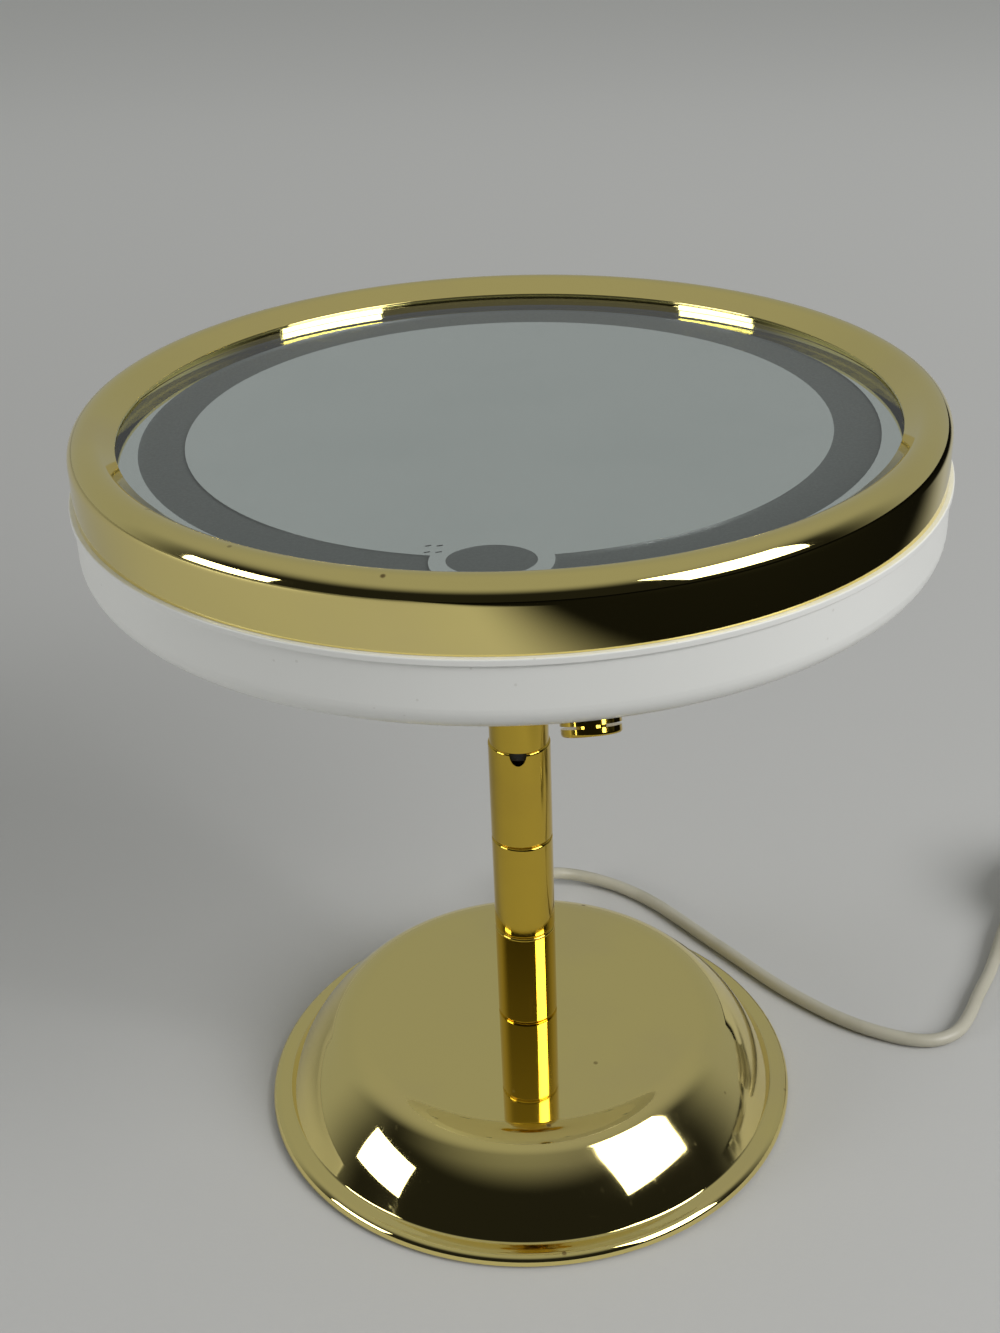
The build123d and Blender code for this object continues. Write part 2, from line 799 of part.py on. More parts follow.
with BuildPart() as touch_board:
    with Locations((0, -touch_circle, touch_board_back)):
        Cylinder(
            touch_board_radius,
            touch_board_thickness,
            align=(Align.CENTER, Align.CENTER, Align.MIN),
        )
    disc(touch_board_back - cut_over, touch_board_thickness + 2 * cut_over, diffuser_inner, Mode.SUBTRACT)
save(touch_board, "touch_board")

with BuildPart() as led_board:
    disc(tray_floor, led_board_thickness, led_board_outer)
    disc(tray_floor - cut_over, led_board_thickness + 2 * cut_over, led_board_inner, Mode.SUBTRACT)
    with Locations((0, -touch_circle, tray_floor)):
        Cylinder(touch_boss_radius + seat_gap, 4 * led_board_thickness, mode=Mode.SUBTRACT)
save(led_board, "led_board")

with BuildPart() as led_chips:
    with Locations((0, 0, led_board_top)):
        with PolarLocations(
            (led_board_inner + led_board_outer) / 2,
            led_count,
            start_angle=led_gap_angle / 2 - 90,
            angular_range=360 - led_gap_angle,
            endpoint=True,
        ):
            Box(led_width, led_length, led_height, align=(Align.CENTER, Align.CENTER, Align.MIN))
save(led_chips, "led_chips")

bezel_screw_low = tray_bottom - ledge_thickness
with BuildPart() as bezel_screws:
    with PolarLocations(bezel_screw_circle, bezel_screw_count):
        with Locations((0, 0, bezel_screw_low)):
            Cylinder(
                bezel_screw_head_diameter / 2,
                bezel_screw_head_height,
                align=(Align.CENTER, Align.CENTER, Align.MAX),
            )
            Cylinder(
                bezel_screw_diameter / 2,
                bezel_seat + bezel_screw_bite - bezel_screw_low,
                align=(Align.CENTER, Align.CENTER, Align.MIN),
            )
save(bezel_screws, "bezel_screws")

# Push button, measured inwards from the housing's sloped skin
stem_radius = button_stem_diameter / 2
cap_face = -collar_height - button_gap
with BuildPart() as button_collar:
    with Locations(button_plane):
        Cylinder(collar_diameter / 2, collar_height, align=(Align.CENTER, Align.CENTER, Align.MAX))
        Cylinder(sleeve_diameter / 2, sleeve_length, align=(Align.CENTER, Align.CENTER, Align.MIN))
        Cylinder(stem_radius + fit_gap, 4 * sleeve_length, mode=Mode.SUBTRACT)
save(button_collar, "button_collar")

with BuildPart() as power_button:
    with Locations(button_plane.offset(cap_face)):
        Cylinder(button_diameter / 2, button_height, align=(Align.CENTER, Align.CENTER, Align.MAX))
        Cylinder(stem_radius, button_stem_length, align=(Align.CENTER, Align.CENTER, Align.MIN))
    press_axis = Axis(button_origin, button_inward)
    cap_rim = power_button.edges().filter_by(GeomType.CIRCLE).sort_by(press_axis)[0]
    fillet(cap_rim, button_edge_round)
save(power_button, "power_button")

with BuildPart() as button_clip:
    with Locations(button_plane.offset(sleeve_length)):
        Cylinder(
            button_clip_diameter / 2,
            button_clip_thickness,
            align=(Align.CENTER, Align.CENTER, Align.MIN),
        )
        Cylinder(stem_radius + fit_gap, 4 * button_clip_thickness, mode=Mode.SUBTRACT)
save(button_clip, "button_clip")

with BuildPart() as button_switch:
    with Locations(button_plane.offset(plunger_top)):
        Cylinder(plunger_diameter / 2, plunger_height, align=(Align.CENTER, Align.CENTER, Align.MIN))
    with Locations(button_plane.offset(plunger_top + plunger_height)):
        Box(switch_size, switch_size, switch_height, align=(Align.CENTER, Align.CENTER, Align.MIN))
save(button_switch, "button_switch")

with BuildPart() as switch_board:
    with Locations(button_plane.offset(switch_board_low)):
        Box(
            switch_board_length,
            switch_board_width,
            switch_board_thickness,
            align=(Align.CENTER, Align.CENTER, Align.MIN),
        )
save(switch_board, "switch_board")


# Supply lead
def corner_radii(points):
    """The largest arcs that a route's corners take: 0.45 of the shorter run over the half turn's tangent."""
    run_share = 0.45
    places = [Vector(*point) for point in points]
    radii = []
    for before, here, after in zip(places, places[1:], places[2:]):
        turn = (here - before).get_angle(after - here)
        shorter = min((here - before).length, (after - here).length)
        radii.append(run_share * shorter / math.tan(math.radians(turn) / 2))
    return radii


def run_tube(points, name):
    """A round lead along straight runs joined by tangent arcs, with its radii and volume printed."""
    radii = corner_radii(points)
    with BuildLine() as route:
        FilletPolyline(*points, radius=radii)
    first_run = Vector(*points[1]) - Vector(*points[0])
    with BuildSketch(Plane(origin=points[0], z_dir=first_run)) as section_face:
        Circle(cord_radius)
    sweep(section_face.sketch, path=route.wire())
    expected = math.pi * cord_radius**2 * route.wire().length
    print(name, "radii", [round(radius, 1) for radius in radii])
    print(name, "length", round(route.wire().length, 1), "section times length", round(expected, 1))


exit_end = exit_wall + boot_length
boot_tip = (0, exit_end, exit_height)
with BuildPart() as cord_boot:
    with Locations(exit_plane):
        Cone(
            boot_root_diameter / 2,
            boot_tip_diameter / 2,
            boot_length,
            align=(Align.CENTER, Align.CENTER, Align.MIN),
        )
        Cylinder(boot_root_diameter / 2, boot_inner_length, align=(Align.CENTER, Align.CENTER, Align.MAX))
    with Locations(exit_plane.offset(-boot_inner_length)):
        Cylinder(
            boot_collar_diameter / 2,
            boot_collar_thickness,
            align=(Align.CENTER, Align.CENTER, Align.MIN),
        )
save(cord_boot, "cord_boot")

lead_start = (0, exit_wall - boot_inner_length, exit_height)
lead_top = (0, 0, post_top + pipe_reach)
with BuildPart() as post_lead:
    with BuildLine() as lead_line:
        FilletPolyline(lead_start, (0, 0, exit_height), lead_top, radius=lead_bend)
    with BuildSketch(Plane(origin=lead_start, z_dir=(0, -1, 0))) as lead_section:
        Circle(cord_radius)
    sweep(lead_section.sketch, path=lead_line.wire())
save(post_lead, "post_lead")


def coil_place(turn):
    """The coil's middle line after a number of turns: it spirals in and out and climbs at each reversal."""
    layer = min(int(turn / coil_turns_per_layer), coil_layers - 1)
    into_layer = turn - layer * coil_turns_per_layer
    from_outside = into_layer if layer % 2 == 0 else coil_turns_per_layer - into_layer
    radius = coil_outer_radius - coil_pitch * from_outside
    climbed = sum(climb_share(turn - level * coil_turns_per_layer) for level in range(1, coil_layers))
    height = cord_radius + coil_lift + coil_layer_step * climbed
    heading = math.radians(coil_start_angle - 360 * turn)
    return Vector(
        coil_centre[0] + radius * math.cos(heading),
        coil_centre[1] + radius * math.sin(heading),
        height,
    )


def climb_share(past):
    """The share of one layer that is climbed, in the half turn around a reversal."""
    quarter_turn_share = 0.25
    reach = max(-1, min(1, past / quarter_turn_share))
    return (1 + math.sin(reach * math.pi / 2)) / 2


def coil_heading(turn):
    """The direction of the coil's middle line."""
    step_share = 0.01
    last = coil_layers * coil_turns_per_layer
    return (coil_place(min(turn + step_share, last)) - coil_place(max(turn - step_share, 0))).normalized()


def biarc(start, start_way, end, end_way):
    """Two tangent arcs from start to end that leave and arrive along the given directions."""
    span = end - start
    square = 2 * (1 - start_way.dot(end_way))
    linear = 2 * span.dot(start_way + end_way)
    reach = (math.sqrt(linear**2 + 4 * square * span.dot(span)) - linear) / (2 * square)
    middle = (start + end + (start_way - end_way) * reach) * 0.5
    middle_way = (end - end_way * reach) - (start + start_way * reach)
    TangentArc(start, middle, tangent=start_way)
    TangentArc(middle, end, tangent=middle_way.normalized())


quarter_turns = round(4 * coil_layers * coil_turns_per_layer)
coil_nodes = [quarter / 4 for quarter in range(quarter_turns + 1)]
coil_first = coil_place(coil_nodes[0])
coil_last = coil_place(coil_nodes[-1])
coil_in_way = coil_heading(coil_nodes[0])
coil_out_way = coil_heading(coil_nodes[-1])
coil_entry = coil_first - coil_in_way * cord_diameter
coil_approach_start = coil_entry - coil_in_way * coil_approach
coil_leave = coil_last + coil_out_way * cord_diameter

with BuildPart() as power_cord:
    run_tube([boot_tip, *cord_route, tuple(coil_approach_start), tuple(coil_entry)], "power_cord")
save(power_cord, "power_cord")

with BuildPart() as cord_coil:
    with BuildLine() as coil_line:
        Line(coil_entry, coil_first)
        for here, there in zip(coil_nodes, coil_nodes[1:]):
            biarc(coil_place(here), coil_heading(here), coil_place(there), coil_heading(there))
        Line(coil_last, coil_leave)
    with BuildSketch(Plane(origin=coil_entry, z_dir=coil_in_way)) as coil_section:
        Circle(cord_radius)
    sweep(coil_section.sketch, path=coil_line.wire())
save(cord_coil, "cord_coil")

samples_per_turn = 48
coil_samples = [
    coil_place(index / samples_per_turn)
    for index in range(int(samples_per_turn * coil_layers * coil_turns_per_layer) + 1)
]
nearest = min(
    (coil_samples[first] - coil_samples[second]).length
    for first in range(len(coil_samples))
    for second in range(first + samples_per_turn // 2, len(coil_samples))
)
print("cord_coil length", round(coil_line.wire().length, 1), "least gap", round(nearest - cord_diameter, 2))

coil_inner_radius = coil_outer_radius - coil_pitch * coil_turns_per_layer
coil_top = cord_diameter + coil_lift + coil_layer_step * (coil_layers - 1)
half_tie_sag = coil_inner_radius - cord_radius
tie_inside = math.sqrt(half_tie_sag**2 - (tie_width / 2) ** 2) - tie_gap
tie_outside = coil_outer_radius + cord_radius + tie_gap
tie_low = coil_lift - tie_gap
tie_high = coil_top + tie_gap
tie_turn = math.radians(tie_angle)
tie_middle = (tie_inside + tie_outside) / 2
tie_plane = Plane(
    origin=(
        coil_centre[0] + tie_middle * math.cos(tie_turn),
        coil_centre[1] + tie_middle * math.sin(tie_turn),
        (tie_low + tie_high) / 2,
    ),
    x_dir=(math.cos(tie_turn), math.sin(tie_turn), 0),
    z_dir=(math.sin(tie_turn), -math.cos(tie_turn), 0),
)
with BuildPart() as cord_tie:
    with BuildSketch(tie_plane) as tie_loop:
        RectangleRounded(
            tie_outside - tie_inside + 2 * tie_thickness,
            tie_high - tie_low + 2 * tie_thickness,
            tie_corner,
        )
        RectangleRounded(
            tie_outside - tie_inside,
            tie_high - tie_low,
            tie_corner - tie_thickness,
            mode=Mode.SUBTRACT,
        )
    extrude(tie_loop.sketch, amount=tie_width / 2, both=True)
save(cord_tie, "cord_tie")

# Tail of the lead and its plug
tail_way = Vector(coil_out_way.X, coil_out_way.Y, 0).normalized()
tail_side = Vector(-tail_way.Y, tail_way.X, 0)
tail_route = [coil_leave, coil_leave + coil_out_way * tail_lead]
for along, sideways, height in tail_steps:
    tail_place = coil_leave + tail_way * along + tail_side * sideways
    tail_route.append(Vector(tail_place.X, tail_place.Y, height))
plug_height = plug_thickness / 2 + floor_gap
landing = coil_leave + tail_way * tail_landing[0] + tail_side * tail_landing[1]
landing = Vector(landing.X, landing.Y, plug_height)
plug_way = landing - tail_route[-1]
plug_way = Vector(plug_way.X, plug_way.Y, 0).normalized()
plug_rear = landing + plug_way * tail_end
tail_route += [landing, plug_rear]
with BuildPart() as plug_lead:
    run_tube([tuple(place) for place in tail_route], "plug_lead")
save(plug_lead, "plug_lead")

plug_plane = Plane(origin=plug_rear, x_dir=(-plug_way.Y, plug_way.X, 0), z_dir=plug_way)
with BuildPart() as plug_grip:
    with Locations(plug_plane):
        Cone(
            plug_boot_tip / 2,
            plug_boot_root / 2,
            plug_boot_length,
            align=(Align.CENTER, Align.CENTER, Align.MIN),
        )
    with BuildSketch(plug_plane.offset(plug_boot_length)) as grip_outline:
        RectangleRounded(plug_width, plug_thickness, plug_round)
    extrude(grip_outline.sketch, amount=plug_length)
    with Locations(plug_plane.offset(plug_boot_length + plug_length / 4)):
        for rib in range(plug_grip_count):
            for side in (-1, 1):
                with Locations((side * plug_width / 2, 0, rib * plug_grip_pitch)):
                    Box(2 * plug_grip_depth, plug_thickness, plug_grip_width, mode=Mode.SUBTRACT)
save(plug_grip, "plug_grip")

shell_root = plug_plane.offset(plug_boot_length + plug_length)
with BuildPart() as plug_shell:
    with BuildSketch(shell_root) as shell_outline:
        Rectangle(shell_width, shell_height)
        Rectangle(shell_width - 2 * shell_sheet, shell_height - 2 * shell_sheet, mode=Mode.SUBTRACT)
    extrude(shell_outline.sketch, amount=shell_length)
save(plug_shell, "plug_shell")

tongue_drop = (shell_height - tongue_plate_thickness) / 2 - shell_sheet
with BuildPart() as plug_tongue:
    with BuildSketch(shell_root) as tongue_outline:
        with Locations((0, tongue_drop)):
            Rectangle(shell_width - 2 * shell_sheet, tongue_plate_thickness)
    extrude(tongue_outline.sketch, amount=shell_length - shell_sheet)
save(plug_tongue, "plug_tongue")
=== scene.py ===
import bpy
import bmesh
import math
from mathutils import Matrix, Vector


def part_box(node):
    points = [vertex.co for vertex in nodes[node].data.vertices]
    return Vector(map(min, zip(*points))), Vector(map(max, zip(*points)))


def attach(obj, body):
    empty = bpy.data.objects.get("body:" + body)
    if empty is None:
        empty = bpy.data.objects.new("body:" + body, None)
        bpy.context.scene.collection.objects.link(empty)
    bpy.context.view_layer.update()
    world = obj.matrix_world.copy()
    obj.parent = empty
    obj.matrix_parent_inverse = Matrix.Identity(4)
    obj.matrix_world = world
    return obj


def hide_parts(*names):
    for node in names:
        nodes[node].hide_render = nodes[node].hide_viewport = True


# Lighted makeup mirror: a lit head in a gold ring, tilting on a gold post over a round gold base.
# Metres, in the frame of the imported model: the front is -Y and +Z is up.

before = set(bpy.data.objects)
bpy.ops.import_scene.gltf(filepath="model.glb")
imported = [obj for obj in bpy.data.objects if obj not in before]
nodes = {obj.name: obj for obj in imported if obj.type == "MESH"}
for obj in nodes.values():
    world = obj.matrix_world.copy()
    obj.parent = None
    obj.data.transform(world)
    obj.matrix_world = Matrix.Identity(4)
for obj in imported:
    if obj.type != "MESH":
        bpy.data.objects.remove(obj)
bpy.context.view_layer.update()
MM = 0.001
weld = 0.001 * MM


# Shader building


class Wire:
    """A shader value: arithmetic on it adds the Math nodes that work it out."""

    def __init__(self, paint, socket):
        self.paint = paint
        self.socket = socket

    def maths(self, operation, first, second):
        return self.paint.node("ShaderNodeMath", {"operation": operation}, {0: first, 1: second})

    def __add__(self, other):
        return self.maths("ADD", self, other)

    def __radd__(self, other):
        return self.maths("ADD", other, self)

    def __sub__(self, other):
        return self.maths("SUBTRACT", self, other)

    def __rsub__(self, other):
        return self.maths("SUBTRACT", other, self)

    def __mul__(self, other):
        return self.maths("MULTIPLY", self, other)

    def __rmul__(self, other):
        return self.maths("MULTIPLY", other, self)


class Paint:
    """One node tree being filled, for a material or for the world."""

    def __init__(self, tree):
        self.tree = tree
        self.tree.nodes.clear()

    def node(self, kind, settings=None, sockets=None, out=0):
        """Adds a node: its settings first, then its sockets' values or links. Gives its chosen output."""
        made = self.tree.nodes.new(kind)
        for name, value in (settings or {}).items():
            setattr(made, name, value)
        for name, value in (sockets or {}).items():
            if isinstance(value, Wire):
                self.tree.links.new(value.socket, made.inputs[name])
            else:
                made.inputs[name].default_value = value
        if not made.outputs:
            return None
        return Wire(self, made.outputs[out])

    def place(self):
        return self.node("ShaderNodeTexCoord", out="Object")

    def stretched(self, scale):
        """The surface's place, pulled along some axes, for marks that run one way."""
        return self.node("ShaderNodeMapping", sockets={"Vector": self.place(), "Scale": scale})

    def noise(self, scale, detail=3.0, where=None):
        return self.node(
            "ShaderNodeTexNoise",
            sockets={"Vector": where or self.place(), "Scale": scale, "Detail": detail},
        )

    def specks(self, scale, size):
        """Small round spots, 1 in their middles and 0 between them."""
        distance = self.node("ShaderNodeTexVoronoi", sockets={"Vector": self.place(), "Scale": scale})
        return self.span(distance, size, size / 2)

    def span(self, value, low, high, to_low=0.0, to_high=1.0):
        """Takes a value between low and high smoothly to another range."""
        return self.node(
            "ShaderNodeMapRange",
            {"interpolation_type": "SMOOTHSTEP"},
            {"Value": value, "From Min": low, "From Max": high, "To Min": to_low, "To Max": to_high},
        )

    def mix(self, share, first, second):
        """A colour between two colours."""
        return self.node("ShaderNodeMix", {"data_type": "RGBA"}, {0: share, 6: first, 7: second}, out=2)

    def along(self, vector, way):
        """How far a vector reaches along a way."""
        settings = {"operation": "DOT_PRODUCT"}
        return self.node("ShaderNodeVectorMath", settings, {0: vector, 1: way}, out="Value")

    def bump(self, height, depth):
        return self.node("ShaderNodeBump", sockets={"Height": height, "Distance": depth})

    def surface(self, **sockets):
        """The main shader; a name's underscores stand for the spaces in its socket."""
        named = {name.replace("_", " "): value for name, value in sockets.items()}
        return self.node("ShaderNodeBsdfPrincipled", sockets=named)

    def finish(self, shader):
        self.node("ShaderNodeOutputMaterial", sockets={"Surface": shader})


def new_finish(name):
    """An empty material and the paint that fills it."""
    material = bpy.data.materials.new(name)
    material.use_nodes = True
    return material, Paint(material.node_tree)


# Finishes


def polished_gold(name, bright, dulled, shine):
    """Bright plating: handling smears, hair scratches, a few dark pits and a slow polishing ripple."""
    pit_brown = (0.16, 0.10, 0.04, 1)
    pit_cover = 0.85
    smear_haze = 0.05
    hair_haze = 0.05
    pit_haze = 0.4
    ripple_depth = 0.01 * MM
    material, paint = new_finish(name)
    smears = paint.span(paint.noise(scale=24.0, detail=4.0), low=0.45, high=0.75)
    brushed = paint.stretched((1.0, 1.0, 0.04))
    hairs = paint.span(paint.noise(scale=700.0, detail=2.0, where=brushed), low=0.62, high=0.78)
    worn = paint.span(paint.noise(scale=11.0, detail=1.0), low=0.52, high=0.6)
    pits = worn * paint.specks(scale=95.0, size=0.075)
    colour = paint.mix(pit_cover * pits, paint.mix(smears, bright, dulled), pit_brown)
    ripple = paint.noise(scale=48.0, detail=1.0)
    paint.finish(
        paint.surface(
            Base_Color=colour,
            Metallic=1.0,
            Roughness=shine + smear_haze * smears + hair_haze * hairs + pit_haze * pits,
            Normal=paint.bump(ripple, ripple_depth),
        )
    )
    return material


def satin_white(name):
    """Moulded white plastic with a fine spark grain, a slight unevenness and a few dust marks."""
    paler = (0.87, 0.875, 0.845, 1)
    deeper = (0.83, 0.835, 0.80, 1)
    dust_grey = (0.45, 0.43, 0.38, 1)
    dust_cover = 0.25
    grain_depth = 0.008 * MM
    material, paint = new_finish(name)
    mottle = paint.noise(scale=16.0, detail=4.0)
    dust = paint.specks(scale=170.0, size=0.07)
    clean = paint.mix(mottle, paler, deeper)
    paint.finish(
        paint.surface(
            Base_Color=paint.mix(dust_cover * dust, clean, dust_grey),
            Roughness=paint.span(mottle, low=0.3, high=0.7, to_low=0.28, to_high=0.40),
            Normal=paint.bump(paint.noise(scale=2400.0, detail=2.0), grain_depth),
        )
    )
    return material


def mirror_silver(name):
    """The reflecting film behind the glass, with the faintest cloud in it."""
    bright = (0.885, 0.90, 0.895, 1)
    clouded = (0.855, 0.875, 0.87, 1)
    clear_haze = 0.012
    cloud_haze = 0.02
    material, paint = new_finish(name)
    cloud = paint.span(paint.noise(scale=30.0, detail=4.0), low=0.4, high=0.8)
    paint.finish(
        paint.surface(
            Base_Color=paint.mix(cloud, bright, clouded),
            Metallic=1.0,
            Roughness=clear_haze + cloud_haze * cloud,
        )
    )
    return material


def clear_pane(name):
    """Flat clear glass: it reflects as glass does and lets the rest straight through."""
    refraction = 1.5
    glass_tint = (0.97, 0.985, 0.978, 1)
    white_gloss = (1, 1, 1, 1)
    gloss_haze = 0.015
    wiped_gloss = 0.01
    material, paint = new_finish(name)
    strokes = paint.stretched((1.0, 0.35, 1.0))
    wiped = paint.span(paint.noise(scale=40.0, detail=4.0, where=strokes), low=0.5, high=0.8)
    outside = 1 - paint.node("ShaderNodeNewGeometry", out="Backfacing")
    fresnel = paint.node("ShaderNodeFresnel", sockets={"IOR": refraction})
    through = paint.node("ShaderNodeBsdfTransparent", sockets={"Color": glass_tint})
    gloss = paint.node("ShaderNodeBsdfGlossy", sockets={"Color": white_gloss, "Roughness": gloss_haze})
    shining = outside * (fresnel + wiped_gloss * wiped)
    paint.finish(paint.node("ShaderNodeMixShader", sockets={0: shining, 1: through, 2: gloss}))
    return material


def frosted_window(name):
    """The unlit light window: grey frosted plastic with a fine sparkle."""
    darker = (0.086, 0.094, 0.092, 1)
    lighter = (0.10, 0.108, 0.106, 1)
    frost_depth = 0.01 * MM
    material, paint = new_finish(name)
    frost = paint.noise(scale=1500.0, detail=2.0)
    cloud = paint.noise(scale=20.0, detail=2.0)
    paint.finish(
        paint.surface(
            Base_Color=paint.mix(cloud, darker, lighter),
            Roughness=paint.span(frost, low=0.3, high=0.7, to_low=0.5, to_high=0.65),
            Normal=paint.bump(frost, frost_depth),
        )
    )
    return material


def soft_lead(name):
    """The lead's beige jacket, dulled here and there by handling."""
    beige = (0.50, 0.478, 0.39, 1)
    dulled = (0.43, 0.41, 0.325, 1)
    jacket_haze = 0.38
    handled_haze = 0.12
    grain_depth = 0.02 * MM
    material, paint = new_finish(name)
    handled = paint.span(paint.noise(scale=60.0, detail=4.0), low=0.45, high=0.7)
    paint.finish(
        paint.surface(
            Base_Color=paint.mix(handled, beige, dulled),
            Roughness=jacket_haze + handled_haze * handled,
            Normal=paint.bump(paint.noise(scale=900.0, detail=2.0), grain_depth),
        )
    )
    return material


def zinc_steel(name):
    """Zinc plated steel with a cloudy spangle."""
    dull_grain = (0.55, 0.56, 0.57, 1)
    bright_grain = (0.68, 0.68, 0.67, 1)
    material, paint = new_finish(name)
    spangle = paint.noise(scale=420.0)
    paint.finish(
        paint.surface(
            Base_Color=paint.mix(spangle, dull_grain, bright_grain),
            Metallic=1.0,
            Roughness=paint.span(spangle, low=0.3, high=0.7, to_low=0.2, to_high=0.36),
        )
    )
    return material


def dull_grained(name, dark, light, grain, depth):
    """A dull surface with a grain of its own size: cast iron, foam, woven tape, and the near-black of the
    post bushes, which is painted shade.
    """
    material, paint = new_finish(name)
    lumps = paint.noise(grain)
    paint.finish(
        paint.surface(
            Base_Color=paint.mix(lumps, dark, light),
            Roughness=paint.span(lumps, low=0.3, high=0.7, to_low=0.65, to_high=0.9),
            Normal=paint.bump(lumps, depth),
        )
    )
    return material


def lacquered_board(name):
    """Green circuit board lacquer over a fine glass weave."""
    dark_green = (0.02, 0.10, 0.045, 1)
    light_green = (0.03, 0.14, 0.06, 1)
    weave_depth = 0.01 * MM
    material, paint = new_finish(name)
    weave = paint.noise(scale=1200.0, detail=1.0)
    paint.finish(
        paint.surface(
            Base_Color=paint.mix(weave, dark_green, light_green),
            Roughness=paint.span(weave, low=0.3, high=0.7, to_low=0.25, to_high=0.4),
            Normal=paint.bump(weave, weave_depth),
        )
    )
    return material


gold = polished_gold("pale_gold", bright=(0.92, 0.78, 0.30, 1), dulled=(0.88, 0.74, 0.31, 1), shine=0.035)
post_gold = polished_gold(
    "deep_gold", bright=(0.66, 0.46, 0.06, 1), dulled=(0.60, 0.41, 0.06, 1), shine=0.06
)
white = satin_white("satin_white")
silver = mirror_silver("mirror_silver")
pane = clear_pane("clear_pane")
frosted = frosted_window("frosted_window")
jacket = soft_lead("lead_jacket")
zinc = zinc_steel("zinc_steel")
iron = dull_grained(
    "cast_iron", dark=(0.05, 0.05, 0.052, 1), light=(0.09, 0.09, 0.09, 1), grain=500.0, depth=0.1 * MM
)
foam = dull_grained(
    "foam_rubber", dark=(0.012, 0.012, 0.012, 1), light=(0.03, 0.03, 0.03, 1), grain=1600.0, depth=0.08 * MM
)
grey_foam = dull_grained(
    "grey_foam", dark=(0.085, 0.092, 0.09, 1), light=(0.105, 0.112, 0.11, 1), grain=1600.0, depth=0.08 * MM
)
# Painted shade: the post bushes are near-black for the dark inside the hinge fork's notch.
bush_painted_shade = dull_grained(
    "bush_painted_shade_black", dark=(0.01, 0.01, 0.01, 1), light=(0.018, 0.018, 0.017, 1), grain=1200.0, depth=0.03 * MM
)
tape = dull_grained(
    "tie_tape", dark=(0.55, 0.54, 0.50, 1), light=(0.68, 0.67, 0.63, 1), grain=1900.0, depth=0.08 * MM
)
board = lacquered_board("board_green")

node_finishes = {
    gold: ["base_shell", "bezel_ring"],
    post_gold: [
        "tube_lower",
        "tube_middle",
        "tube_upper",
        "hinge_fork",
        "hinge_bracket",
        "hinge_pin",
        "hinge_nut",
        "power_button",
        "button_collar",
    ],
    white: ["housing", "back_cover", "mirror_tray", "plug_tongue"],
    silver: ["mirror_silvering"],
    pane: ["mirror_glass"],
    frosted: ["diffuser_ring", "touch_board", "led_chips"],
    jacket: ["cord_boot", "post_lead", "plug_grip", "power_cord", "cord_coil", "plug_lead"],
    zinc: [
        "base_plate",
        "base_screws",
        "base_washer",
        "base_nut",
        "post_pipe",
        "bracket_backing",
        "bracket_screws",
        "cover_screws",
        "bezel_screws",
        "button_clip",
        "plug_shell",
        "friction_washers",
    ],
    iron: ["base_weight"],
    # Painted shade: near-black bushes in the hinge fork's notch.
    bush_painted_shade: ["post_bushes"],
    foam: ["base_pad"],
    grey_foam: ["mirror_foam"],
    tape: ["cord_tie"],
    board: ["driver_board", "driver_parts", "led_board", "button_switch", "switch_board"],
}
for finish, names in node_finishes.items():
    for name in names:
        for material_slot in nodes[name].material_slots:
            material_slot.material = finish


# Pieces


def keep_piece(name, data, body):
    """Links a finished mesh or curve as an object at the origin that rides on a body."""
    piece = bpy.data.objects.new(name, data)
    bpy.context.scene.collection.objects.link(piece)
    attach(piece, body)
    return piece


def to_mesh(name, shape, finish, crease=35.0):
    """Closes a bmesh's seams, turns its faces outwards and makes it a smooth mesh with crisp creases."""
    bmesh.ops.remove_doubles(shape, verts=shape.verts, dist=weld)
    bmesh.ops.recalc_face_normals(shape, faces=shape.faces)
    mesh = bpy.data.meshes.new(name)
    shape.to_mesh(mesh)
    shape.free()
    mesh.materials.append(finish)
    mesh.shade_smooth()
    mesh.set_sharp_from_angle(angle=math.radians(crease))
    return mesh


def turned(points, centre, axis, steps=48):
    """A shape turned from a profile of places."""
    shape = bmesh.new()
    corners = [shape.verts.new(point) for point in points]
    profile = [shape.edges.new(pair) for pair in zip(corners, corners[1:])]
    bmesh.ops.spin(
        shape,
        geom=corners + profile,
        cent=centre,
        axis=axis,
        angle=math.tau,
        steps=steps,
        use_merge=True,
    )
    return shape


def rounded_profile(corners, radii, arc_steps=20):
    """The places of a profile whose inner corners are rounded to their radii."""
    points = [corners[0]]
    for before, corner, after, radius in zip(corners, corners[1:], corners[2:], radii):
        back = (before - corner).normalized()
        ahead = (after - corner).normalized()
        half_angle = back.angle(ahead) / 2
        tangent = radius / math.tan(half_angle)
        centre = corner + radius / math.sin(half_angle) * (back + ahead).normalized()
        first = (corner + tangent * back - centre).normalized()
        last = (corner + tangent * ahead - centre).normalized()
        points += [centre + radius * first.slerp(last, step / arc_steps) for step in range(arc_steps + 1)]
    return [*points, corners[-1]]


